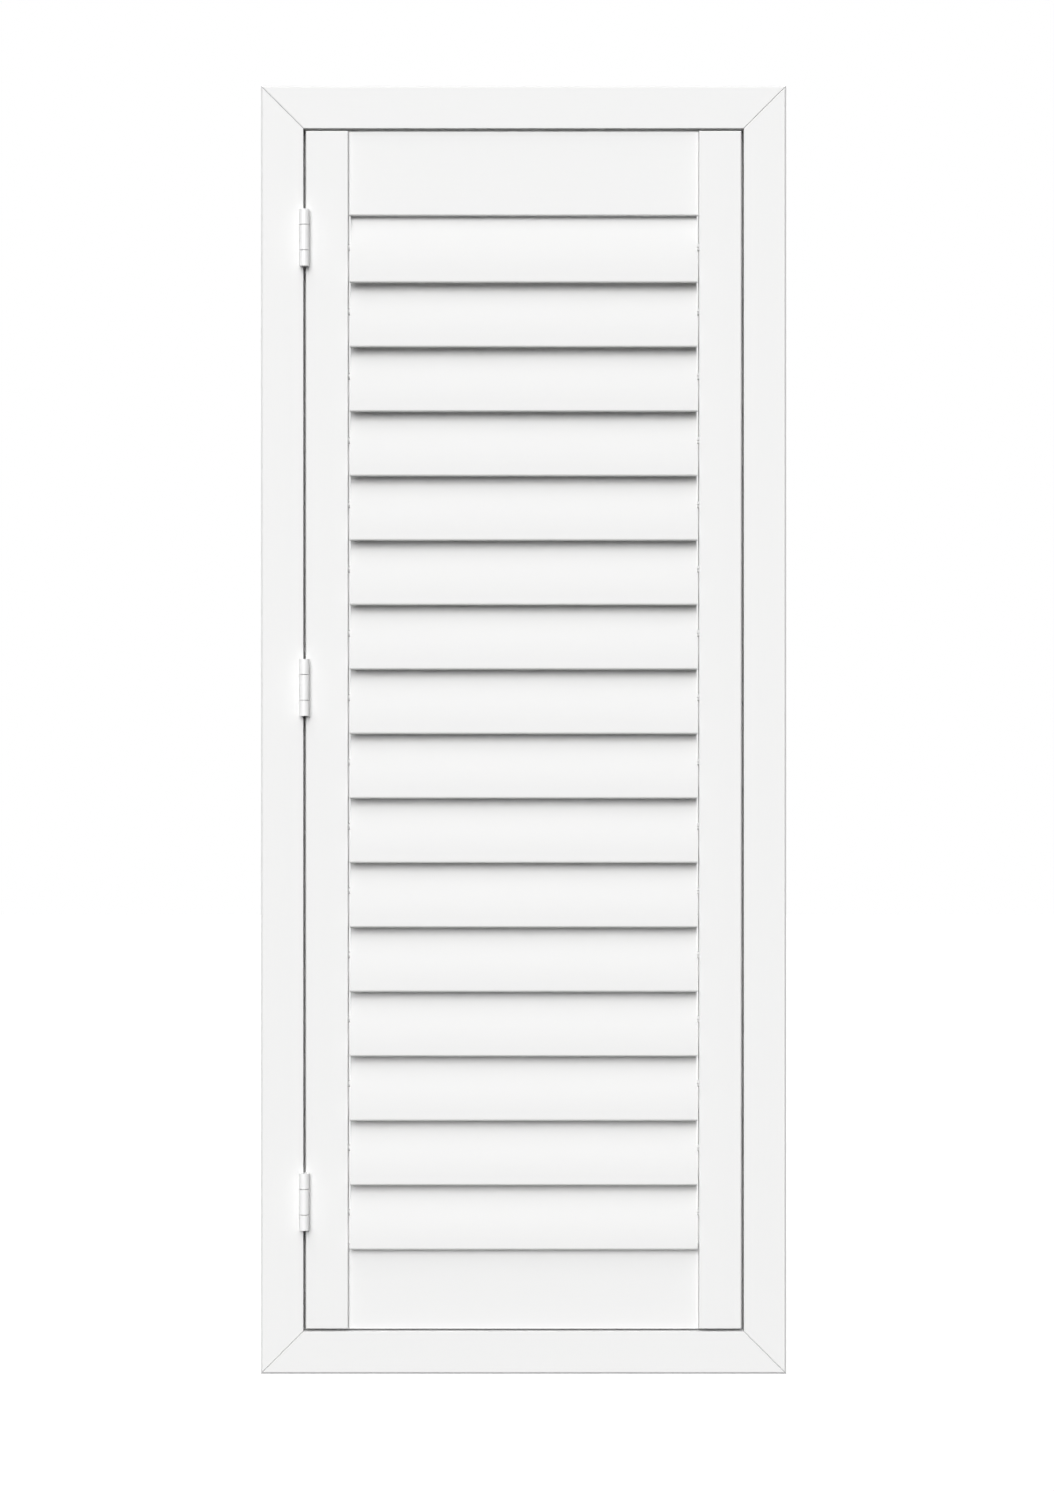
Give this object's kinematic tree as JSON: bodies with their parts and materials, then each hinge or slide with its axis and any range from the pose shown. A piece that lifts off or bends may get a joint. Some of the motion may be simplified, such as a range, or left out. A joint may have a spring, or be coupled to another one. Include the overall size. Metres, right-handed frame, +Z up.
{
  "type": "louvred window shutter",
  "caption": "Tall white plantation shutter: a mitred frame with one side-hung panel of wide tilting louvres, geared together inside the stile, and butt hinges on the left.",
  "frame": {"origin": "middle of the sill's underside, at mid-depth of the frame", "axes": "+X to the right and +Z up as seen from the room, +Y from the room towards the window"},
  "size_m": [0.62, 0.0545, 1.52],
  "materials": {
    "frame_paint": "satin white paint on basswood",
    "panel_paint": "satin white paint on basswood",
    "louvre_paint": "satin white paint on basswood",
    "joint_wood": "bare hardwood",
    "gear_nylon": "white nylon",
    "hinge_paint": "white enamel",
    "hinge_pin_steel": "white enamel",
    "magnet": "sintered ferrite",
    "strike_steel": "zinc plated"
  },
  "bodies": {
    "frame": {"frame_head": "frame_paint", "frame_sill": "frame_paint", "frame_jamb_left": "frame_paint", "frame_jamb_right": "frame_paint", "corner_keys": "joint_wood", "hinge_top_frame_leaf": "hinge_paint", "hinge_top_pin": "hinge_pin_steel", "hinge_middle_frame_leaf": "hinge_paint", "hinge_middle_pin": "hinge_pin_steel", "hinge_bottom_frame_leaf": "hinge_paint", "hinge_bottom_pin": "hinge_pin_steel", "magnet_upper": "magnet", "magnet_lower": "magnet"},
    "panel": {"stile_left": "panel_paint", "stile_right": "panel_paint", "rail_top": "panel_paint", "rail_bottom": "panel_paint", "rail_tenons": "joint_wood", "tilt_bearing_strip": "gear_nylon", "hinge_top_panel_leaf": "hinge_paint", "hinge_middle_panel_leaf": "hinge_paint", "hinge_bottom_panel_leaf": "hinge_paint", "strike_upper": "strike_steel", "strike_lower": "strike_steel"},
    "tilt_rack": {"tilt_rack": "gear_nylon"},
    "louvre_01": {"louvre_01": "louvre_paint"},
    "louvre_02": {"louvre_02": "louvre_paint"},
    "louvre_03": {"louvre_03": "louvre_paint"},
    "louvre_04": {"louvre_04": "louvre_paint"},
    "louvre_05": {"louvre_05": "louvre_paint"},
    "louvre_06": {"louvre_06": "louvre_paint"},
    "louvre_07": {"louvre_07": "louvre_paint"},
    "louvre_08": {"louvre_08": "louvre_paint"},
    "louvre_09": {"louvre_09": "louvre_paint"},
    "louvre_10": {"louvre_10": "louvre_paint"},
    "louvre_11": {"louvre_11": "louvre_paint"},
    "louvre_12": {"louvre_12": "louvre_paint"},
    "louvre_13": {"louvre_13": "louvre_paint"},
    "louvre_14": {"louvre_14": "louvre_paint"},
    "louvre_15": {"louvre_15": "louvre_paint"},
    "louvre_16": {"louvre_16": "louvre_paint"}
  },
  "joints": [
    {"name": "panel_swing", "type": "hinge", "parent": "frame", "child": "panel", "pos_m": [-0.2585, -0.0275, 0.76], "axis": [0, 0, -1], "range_deg": [0, 180]},
    {"name": "louvre_01_tilt", "type": "hinge", "parent": "panel", "child": "louvre_01", "pos_m": [0, -0.013, 1.33], "axis": [-1, 0, 0], "range_deg": [0, 148]},
    {"name": "louvre_02_tilt", "type": "hinge", "parent": "panel", "child": "louvre_02", "pos_m": [0, -0.013, 1.254], "axis": [-1, 0, 0], "range_deg": [0, 148]},
    {"name": "louvre_03_tilt", "type": "hinge", "parent": "panel", "child": "louvre_03", "pos_m": [0, -0.013, 1.178], "axis": [-1, 0, 0], "range_deg": [0, 148]},
    {"name": "louvre_04_tilt", "type": "hinge", "parent": "panel", "child": "louvre_04", "pos_m": [0, -0.013, 1.102], "axis": [-1, 0, 0], "range_deg": [0, 148]},
    {"name": "louvre_05_tilt", "type": "hinge", "parent": "panel", "child": "louvre_05", "pos_m": [0, -0.013, 1.026], "axis": [-1, 0, 0], "range_deg": [0, 148]},
    {"name": "louvre_06_tilt", "type": "hinge", "parent": "panel", "child": "louvre_06", "pos_m": [0, -0.013, 0.95], "axis": [-1, 0, 0], "range_deg": [0, 148]},
    {"name": "louvre_07_tilt", "type": "hinge", "parent": "panel", "child": "louvre_07", "pos_m": [0, -0.013, 0.874], "axis": [-1, 0, 0], "range_deg": [0, 148]},
    {"name": "louvre_08_tilt", "type": "hinge", "parent": "panel", "child": "louvre_08", "pos_m": [0, -0.013, 0.798], "axis": [-1, 0, 0], "range_deg": [0, 148]},
    {"name": "louvre_09_tilt", "type": "hinge", "parent": "panel", "child": "louvre_09", "pos_m": [0, -0.013, 0.722], "axis": [-1, 0, 0], "range_deg": [0, 148]},
    {"name": "louvre_10_tilt", "type": "hinge", "parent": "panel", "child": "louvre_10", "pos_m": [0, -0.013, 0.646], "axis": [-1, 0, 0], "range_deg": [0, 148]},
    {"name": "louvre_11_tilt", "type": "hinge", "parent": "panel", "child": "louvre_11", "pos_m": [0, -0.013, 0.57], "axis": [-1, 0, 0], "range_deg": [0, 148]},
    {"name": "louvre_12_tilt", "type": "hinge", "parent": "panel", "child": "louvre_12", "pos_m": [0, -0.013, 0.494], "axis": [-1, 0, 0], "range_deg": [0, 148]},
    {"name": "louvre_13_tilt", "type": "hinge", "parent": "panel", "child": "louvre_13", "pos_m": [0, -0.013, 0.418], "axis": [-1, 0, 0], "range_deg": [0, 148]},
    {"name": "louvre_14_tilt", "type": "hinge", "parent": "panel", "child": "louvre_14", "pos_m": [0, -0.013, 0.342], "axis": [-1, 0, 0], "range_deg": [0, 148]},
    {"name": "louvre_15_tilt", "type": "hinge", "parent": "panel", "child": "louvre_15", "pos_m": [0, -0.013, 0.266], "axis": [-1, 0, 0], "range_deg": [0, 148]},
    {"name": "louvre_16_tilt", "type": "hinge", "parent": "panel", "child": "louvre_16", "pos_m": [0, -0.013, 0.19], "axis": [-1, 0, 0], "range_deg": [0, 148]},
    {"name": "rack_slide", "type": "slide", "parent": "panel", "child": "tilt_rack", "axis": [0, 0, -1], "range_m": [0, 0.00878]}
  ],
  "couplings": [
    {"joint": "louvre_02_tilt", "follows": "louvre_01_tilt", "ratio": 1},
    {"joint": "louvre_03_tilt", "follows": "louvre_01_tilt", "ratio": 1},
    {"joint": "louvre_04_tilt", "follows": "louvre_01_tilt", "ratio": 1},
    {"joint": "louvre_05_tilt", "follows": "louvre_01_tilt", "ratio": 1},
    {"joint": "louvre_06_tilt", "follows": "louvre_01_tilt", "ratio": 1},
    {"joint": "louvre_07_tilt", "follows": "louvre_01_tilt", "ratio": 1},
    {"joint": "louvre_08_tilt", "follows": "louvre_01_tilt", "ratio": 1},
    {"joint": "louvre_09_tilt", "follows": "louvre_01_tilt", "ratio": 1},
    {"joint": "louvre_10_tilt", "follows": "louvre_01_tilt", "ratio": 1},
    {"joint": "louvre_11_tilt", "follows": "louvre_01_tilt", "ratio": 1},
    {"joint": "louvre_12_tilt", "follows": "louvre_01_tilt", "ratio": 1},
    {"joint": "louvre_13_tilt", "follows": "louvre_01_tilt", "ratio": 1},
    {"joint": "louvre_14_tilt", "follows": "louvre_01_tilt", "ratio": 1},
    {"joint": "louvre_15_tilt", "follows": "louvre_01_tilt", "ratio": 1},
    {"joint": "louvre_16_tilt", "follows": "louvre_01_tilt", "ratio": 1},
    {"joint": "rack_slide", "follows": "louvre_01_tilt", "m_per_rad": 0.0034}
  ]
}
